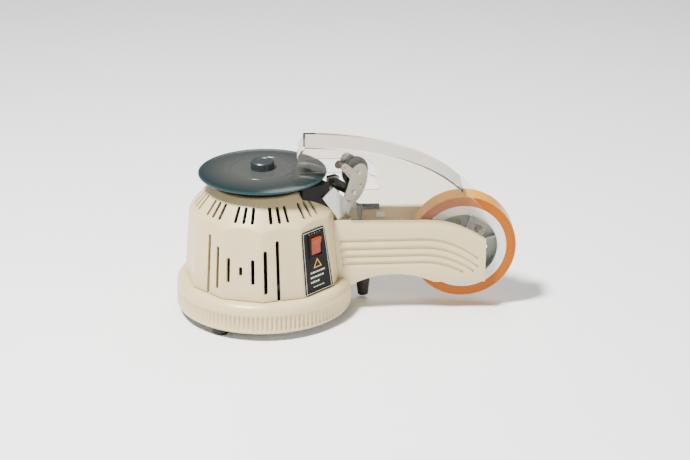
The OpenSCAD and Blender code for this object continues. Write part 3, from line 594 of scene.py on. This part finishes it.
def housing_solid(inset, drop):
    """The crossed prism and cone, drawn in by an inset and started lower by a drop."""
    low, tall = FOOT_Z - drop, TOP_Z - FOOT_Z + drop
    deselect()
    bpy.ops.mesh.primitive_cone_add(
        vertices=SIDES, radius1=(corner_radius(low) - inset) * MM,
        radius2=(corner_radius(TOP_Z) - inset) * MM, depth=tall * MM,
        location=AXIS + Vector((0, 0, (low + tall / 2) * MM)))
    prism = bpy.context.object
    bpy.ops.object.transform_apply(location=True, rotation=True, scale=True)
    outline = [(0.001, low - 1), (corner_radius(low) - inset + 1, low - 1),
               (WAIST_R - inset + CONE_SLOPE * 1.2, WAIST_Z - 1.2),
               (TOP_R - inset * 0.45, TOP_Z - inset), (0.001, TOP_Z - inset)]
    cut(prism, turned(AXIS, outline, 120), "INTERSECT")
    return prism


shell = housing_solid(0, 0)
tidy_faces(shell, 1e-5, 0.3)
round_edges(shell, 1.3, 3, 18)
cut(shell, housing_solid(WALL, 2))
print("shell hollowed,", len(shell.data.polygons), "faces")


# %% slots
def facet_frame(angle, height):
    """A frame on a housing facet: x points out of it, y runs along it, z up it."""
    return (Matrix.Translation(AXIS) @ Matrix.Rotation(math.radians(angle), 4, "Z")
            @ Matrix.Translation((flat_radius(height) * MM, 0, height * MM))
            @ Matrix.Rotation(-LEAN, 4, "Y"))


def slot_tool(length, width, depth, matrix):
    """A bar with round ends: a cylinder laid on its side, its upper half drawn up."""
    deselect()
    points = 16
    bpy.ops.mesh.primitive_cylinder_add(vertices=points, radius=width / 2 * MM, depth=depth * MM)
    bar = bpy.context.object
    bar.data.transform(Matrix.Rotation(math.radians(90), 4, "Y")
                       @ Matrix.Rotation(math.radians(180 / points), 4, "Z"))
    edit(bar)
    bpy.ops.mesh.select_all(action="DESELECT")
    mesh = bmesh.from_edit_mesh(bar.data)
    for vertex in mesh.verts:
        vertex.select = vertex.co.z > 0
    mesh.select_flush_mode()
    bmesh.update_edit_mesh(bar.data)
    bpy.ops.transform.translate(value=(0, 0, (length - width) * MM))
    leave_edit()
    bar.data.transform(matrix @ Matrix.Translation((0, 0, -(length - width) / 2 * MM)))
    return bar


# Fans of upright slots, in degrees and millimetres: each fan's middle, step, height and lengths.
FAN_MIDDLES, FAN_STEP, FAN_Z, FAN_LENGTHS = (-106.5, 105), 9.4, 64, (59, 42, 24.5, 9, 24.5, 42, 59)
# The three slots on the cone above each of ten facets: step, height and length.
TOP_STEP, TOP_SLOT_Z, TOP_LENGTH = 7.3, 114.5, 16.5
tools = []
for middle in FAN_MIDDLES:
    for i, length in enumerate(FAN_LENGTHS):
        turn = Matrix.Rotation(math.radians(middle + (i - 3) * FAN_STEP), 4, "Z")
        place = (Matrix.Translation(AXIS) @ turn
                 @ Matrix.Translation((flat_radius(FAN_Z) * MM, 0, FAN_Z * MM)))
        tools.append(slot_tool(length, 3.4, 24, place))
for facet in range(1, 11):
    for k in (-1, 0, 1):
        turn = Matrix.Rotation(math.radians(15 + 30 * facet + k * TOP_STEP), 4, "Z")
        out = (WAIST_R - CONE_SLOPE * (TOP_SLOT_Z - WAIST_Z)) * MM
        place = (Matrix.Translation(AXIS) @ turn @ Matrix.Translation((out, 0, TOP_SLOT_Z * MM))
                 @ Matrix.Rotation(-math.atan(CONE_SLOPE), 4, "Y"))
        tools.append(slot_tool(TOP_LENGTH, 3.2, 14, place))
print(len(tools), "air slots")
cut(shell, join(tools, "slot_tools"))

# %% openings of the shell: the disc's bearing, the switch, the inlet and the feed unit
feed_matrix = Matrix.Translation(AXIS) @ Matrix.Rotation(FEED_TURN, 4, "Z")
OPENINGS = (("switch", (-10, -8.7, -11.15), (10, 6.7, 11.15), facet_frame(-45, 82)),
            ("inlet", (-10, -10.1, -6.1), (10, 10.1, 6.1), facet_frame(45, 52)),
            ("feed unit", (58.5, -58, 80), (98.5, -8, 160), feed_matrix))
cut(shell, turned(AXIS, [(0.001, 110), (36, 110), (36, 140), (0.001, 140)], 72))
for opening, low, high, matrix in OPENINGS:
    cut(shell, block(low, high, matrix))
    print("opened for the", opening)
settle(shell, 24)
finish_piece(shell, "housing_shell", "housing", cream_abs, "body_shell")
shell.data.materials.append(painted_shade_inside)
# A face is painted near black, as painted shade, if it looks in towards the axis, or down.
for face in shell.data.polygons:
    outward = (face.center - AXIS) * Vector((1, 1, 0))
    if face.normal.dot(outward.normalized()) < -0.3 or face.normal.z < -0.5:
        face.material_index = 1

# %% [markdown]
# ## Louvred arm walls
# Each side wall is a moulding with four grooves that follow the arm's bend, and its top leans in.
# A groove has a steep upper side and a narrow floor, both in shadow, and then a longer lower side
# that slopes out and catches the light. Each tool is one section drawn along the groove's line,
# and it is subtracted from the wall.

# %% groove lines
BEND_X, ARM_TOP, TOP_ARC = 150.0, 93.5, 90.5
# Each groove's start along the arm, its height there, and its end.
GROOVES = ((71.3, 74.5, 201.6), (72.2, 66.3, 201.8), (73.1, 58.7, 198.2), (74.0, 51.5, 187.8))
GROOVE_DEPTH, GROOVE_RISE, GROOVE_BEND = 1.6, 0.016, 130
# A tool starts this far outside the wall, so that it cuts right through the wall's face.
PROUD = 0.15
print(len(GROOVES), "grooves,", GROOVE_DEPTH, "mm deep")


def top_line(x):
    """The height of the arm's top, which is level and then bends down in an arc."""
    return ARM_TOP - TOP_ARC + math.sqrt(TOP_ARC ** 2 - max(0.0, x - BEND_X - 2) ** 2)


def groove_line(start, level):
    """The height of a groove: a slight rise, and then a bend down like the arm's."""
    return lambda x: (level + GROOVE_RISE * (min(x, BEND_X) - start)
                      - max(0.0, x - BEND_X) ** 2 / GROOVE_BEND)


def drawn_tool(corners, line, start, end, steps=22):
    """A section of (across, up) corners in millimetres, drawn along a line in the arm's plane."""
    places = [start + (end - start) * i / steps for i in range(steps + 1)]
    deselect()
    bpy.ops.mesh.primitive_circle_add(vertices=len(corners), radius=1, fill_type="NGON")
    tool = bpy.context.object
    for vertex, (across, up) in zip(tool.data.vertices, corners):
        vertex.co = AXIS + Vector((start, across, line(start) + up)) * MM
    edit(tool)
    for here, there in zip(places, places[1:]):
        step = Vector((there - here, 0, line(there) - line(here))) * MM
        bpy.ops.mesh.extrude_region_move(TRANSFORM_OT_translate={"value": step})
    bpy.ops.mesh.select_all(action="SELECT")
    bpy.ops.mesh.normals_make_consistent(inside=False)
    leave_edit()
    return tool


# %% walls
def arm_wall(name, side):
    """One side wall, near (-1) or far (1): edges rounded, grooves cut, and its top leant in."""
    wall = merged_copy(name, "_louvred")
    round_edges(wall, 0.9, 3, 40)
    face = side * ARM_HALF
    section = ((face + side * PROUD, 0.25), (face - side * GROOVE_DEPTH, -0.1),
               (face - side * GROOVE_DEPTH, -2.4), (face + side * PROUD, -6.4))
    cut(wall, join([drawn_tool(section, groove_line(start, level), start, end)
                    for start, level, end in GROOVES], "groove_tools"))
    lean = ((face + side * 3, -9.6), (face, -9.6), (face - side * 1.5, 1.0), (face + side * 3, 1.0))
    cut(wall, drawn_tool(lean, top_line, 50, 216, 30))
    settle(wall, 14)
    return finish_piece(wall, name + "_louvred", "housing", cream_abs, name)


arm_wall("near_arm_wall", -1)
arm_wall("far_arm_wall", 1)

# %% [markdown]
# ## Disc and knob
# The tape is laid round a smoked disc with a flat middle, a sloping rim and a fine witness ring.
# It is turned, like the real one, with its rim rounded so that the edge shows a thread of light.

# %% disc
DISC_R, RIM_LOW, SEAT, DISC_TOP = 60.0, 134.3, 136.7, 139.5
disc_section = [(4.0, SEAT), (45.0, SEAT), (59.3, RIM_LOW + 1.2), (59.8, RIM_LOW + 1.4),
                (DISC_R, RIM_LOW + 1.8), (DISC_R, RIM_LOW + 2.3), (59.8, RIM_LOW + 2.8),
                (59.2, RIM_LOW + 3.2), (46.2, DISC_TOP - 0.12), (45.0, DISC_TOP), (30.7, DISC_TOP),
                (30.4, DISC_TOP - 0.35), (30.1, DISC_TOP - 0.35), (29.8, DISC_TOP), (4.0, DISC_TOP)]
disc = turned(AXIS, disc_section, 180)
finish_piece(disc, "smoked_disc", "turntable", smoked_acrylic, "turntable_disc")
soften("disc_knob", 0.35, "turntable")

# %% [markdown]
# ## Tape roll, core and hub
# The winding is never quite even, so the roll's sides wave in and out by a tenth of a millimetre
# every 1.2 mm, many layers at a time. The sides look into the amber winding; the tread is one
# pale glossy layer.

# %% tape roll
TAPE_R, CORE_R, BORE_R, TAPE_HALF = 50.3, 41.0, 38.1, 11.15
LAYER_STEP, LAYER_DIP, LAYER_COUNT = 0.62, 0.12, 15
layers = [(CORE_R + LAYER_STEP * i, 0.0 if i % 2 else LAYER_DIP) for i in range(LAYER_COUNT)]
side_low = [(r, -TAPE_HALF + dip) for r, dip in layers]
side_high = [(r, TAPE_HALF - dip) for r, dip in reversed(layers)]
edge_low = [(TAPE_R - 0.25, -TAPE_HALF), (TAPE_R, -TAPE_HALF + 0.25)]
edge_high = [(TAPE_R, TAPE_HALF - 0.25), (TAPE_R - 0.25, TAPE_HALF)]
reel_axis = Vector((0, -1, 0))
roll = turned(REEL, side_low + edge_low + edge_high + side_high, 144, reel_axis)
roll.data.materials.append(wound_tape)
roll.data.materials.append(tape_tread)
for face in roll.data.polygons:
    out = face.center - REEL
    if math.hypot(out.x, out.z) > (TAPE_R - 0.4) * MM:
        face.material_index = 1
finish_piece(roll, "wound_tape_roll", "reel", wound_tape, "tape_roll")

# %% core and hub
core_section = [(BORE_R, 0.3 - TAPE_HALF), (BORE_R + 0.3, -TAPE_HALF), (CORE_R - 0.15, -TAPE_HALF),
                (CORE_R, 0.2 - TAPE_HALF), (CORE_R, TAPE_HALF - 0.2), (CORE_R - 0.15, TAPE_HALF),
                (BORE_R + 0.3, TAPE_HALF), (BORE_R, TAPE_HALF - 0.3)]
core = turned(REEL, core_section, 120, reel_axis)
finish_piece(core, "tape_core_ring", "reel", hub_styrene, "tape_core")
hub = soften("reel_hub", 0.45, "reel", angle=40)
hub.data.materials.append(hub_shadow)
# The hub's middle is painted greyer than its rim, which is 5.2 mm wide: painted shade inside the
# rim.
HUB_RIM = 5.2
for face in hub.data.polygons:
    corners = [hub.data.vertices[i].co - REEL for i in face.vertices]
    if max(math.hypot(c.x, c.z) for c in corners) < (BORE_R - HUB_RIM) * MM:
        face.material_index = 1
soften("hub_cap", 0.15, "reel")

# %% [markdown]
# ## Clear cover
# The cover is folded and bonded from clear sheet. Its edges are flamed, so they are rounded and
# show as thin grey lines; that needs real rounding, not only a material.

# %% cover
soften("safety_cover", 0.35, "cover", angle=40)

# %% [markdown]
# ## Switch panel
# The panel is a film with rounded corners. Its print is raised a few hundredths of a millimetre:
# a border line, a plain triangle and rows of dashes where a real panel carries its wording. The
# wording itself is left out.

# %% panel
soften("switch_panel", 0.25, "housing", angle=25)
soften("switch_frame", 0.4, "housing", angle=30)
soften("power_rocker", 0.5, "rocker", angle=20)
PANEL_FACE, INK_HEIGHT = 0.92, 0.05
panel_matrix = facet_frame(-45, 67)


def ink_shape(corners, material, line=None):
    """A raised patch of ink from (along, up) corners, or only its outline of a given width."""
    deselect()
    bpy.ops.mesh.primitive_circle_add(vertices=len(corners), radius=1, fill_type="NGON")
    patch = bpy.context.object
    for vertex, (along, up) in zip(patch.data.vertices, corners):
        vertex.co = Vector((PANEL_FACE, along, up)) * MM
    edit(patch)
    if line:
        bpy.ops.mesh.inset(thickness=line * MM, use_even_offset=True)
        bpy.ops.mesh.delete(type="FACE")
        bpy.ops.mesh.select_all(action="SELECT")
    bpy.ops.mesh.extrude_region_move(TRANSFORM_OT_translate={"value": (INK_HEIGHT * MM, 0, 0)})
    bpy.ops.mesh.select_all(action="SELECT")
    bpy.ops.mesh.normals_make_consistent(inside=False)
    leave_edit()
    patch.data.transform(panel_matrix)
    patch.data.materials.append(material)
    return patch


def dash(left, up, length, height):
    """A short stroke of white ink, which rises a little to the right."""
    rise = 0.06 * length
    return ink_shape([(left, up), (left + length, up + rise),
                      (left + length, up + height + rise), (left, up + height)], white_ink)


# %% print
# Rows of dashes under the triangle: where each row starts, and how long its dashes are.
ROWS = ((-9.5, (1.7, 2.3, 1.3, 2.1, 1.6, 2.4, 1.5)), (-10.0, (2.4, 1.5, 2.2, 2.7, 1.4, 2.2)),
        (-10.0, (1.5, 2.6, 1.7, 2.3)), (-7.0, (1.2, 0.9, 1.4, 1.1, 1.5, 1.0, 1.3)))
ROW_TOP, ROW_STEP, DASH_GAP = -11.0, 4.6, 0.85
inks = [ink_shape([(-16.1, -29.7), (16.5, -29.7), (10.7, 29.7), (-16.1, 29.7)], white_ink, 0.42)]
inks.append(ink_shape([(-5.6, -6.2), (5.2, -6.2), (-0.2, 2.6)], yellow_ink, 0.9))
inks += [dash(-6.0 + 2.9 * i, 3.7, 2.1, 1.7) for i in range(5)]
inks += [dash(-9.0 + 3.4 * i, 26.6, 1.6, 0.8) for i in range(5)]
for row, (start, lengths) in enumerate(ROWS):
    for length in lengths:
        inks.append(dash(start, ROW_TOP - ROW_STEP * row, length, 1.5 if row < 3 else 1.0))
        start += length + DASH_GAP
panel_print = join(inks, "panel_print")
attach(panel_print, "housing")
print("panel print of", len(inks), "marks")

# %% [markdown]
# ## Feed unit, arm fittings and feet
# Stamped sheet has a small radius on its edges, turned parts a small chamfer. These keep their
# CAD shape and are softened by what the real process leaves.

# %% feed unit
for name, width in (("feed_frame", 0.3), ("scale_plate", 0.3), ("far_bearing", 0.4),
                    ("guide_bar", 0.5), ("wire_clip", 0.3), ("cutter_solenoid", 0.5),
                    ("bearing_housing", 0.5), ("power_inlet", 0.4), ("arm_frame", 0.5)):
    soften(name, width, "housing")
for name, width, body in (("feed_wheel", 0.2, "wheel"), ("feed_roller", 0.3, "roller"),
                          ("tension_lever", 0.3, "lever"), ("tension_roller", 0.4, "lever_roller"),
                          ("blade_carrier", 0.25, "cutter"), ("support_foot", 0.5, "housing"),
                          ("rubber_feet", 0.5, "housing")):
    soften(name, width, body, angle=40)

# %% [markdown]
# ## Screws of the side plate
# Three slotted screws with domed heads hold the side plate. One head is turned and its slot is
# cut, and the others are copies, each with its own mesh.

# %% screws on the side plate
PLATE_NEAR = 50.6
plate_normal = Vector((math.sin(FEED_TURN), -math.cos(FEED_TURN), 0))
plate_along = Vector((math.cos(FEED_TURN), math.sin(FEED_TURN), 0))


def plate_point(out, up):
    """A point on the side plate's face, from millimetres out along it and up."""
    return AXIS + Vector((out * math.cos(FEED_TURN) + PLATE_NEAR * math.sin(FEED_TURN),
                          out * math.sin(FEED_TURN) - PLATE_NEAR * math.cos(FEED_TURN), up)) * MM


first_place = plate_point(66, 104)
screw_section = [(0.001, -0.2), (1.9, -0.2), (1.9, 0.5), (1.5, 1.0), (0.7, 1.2), (0.001, 1.2)]
screw = turned(first_place, screw_section, 24, plate_normal, plate_along)
cut(screw, block((-2.5, -0.25, 0.7), (2.5, 0.25, 2), Matrix.Translation(first_place)
                 @ plate_normal.to_track_quat("Z", "Y").to_matrix().to_4x4()))
settle(screw)
heads = [screw]
for out, up in ((63.2, 92.0), (77, 121)):
    twin = duplicate(screw)
    twin.data.transform(Matrix.Translation(plate_point(out, up) - first_place))
    heads.append(twin)
plate_screws = join(heads, "plate_screws")
finish_piece(plate_screws, "plate_screws", "housing", bright_steel, slot=SLOTS["wheel_shaft"])
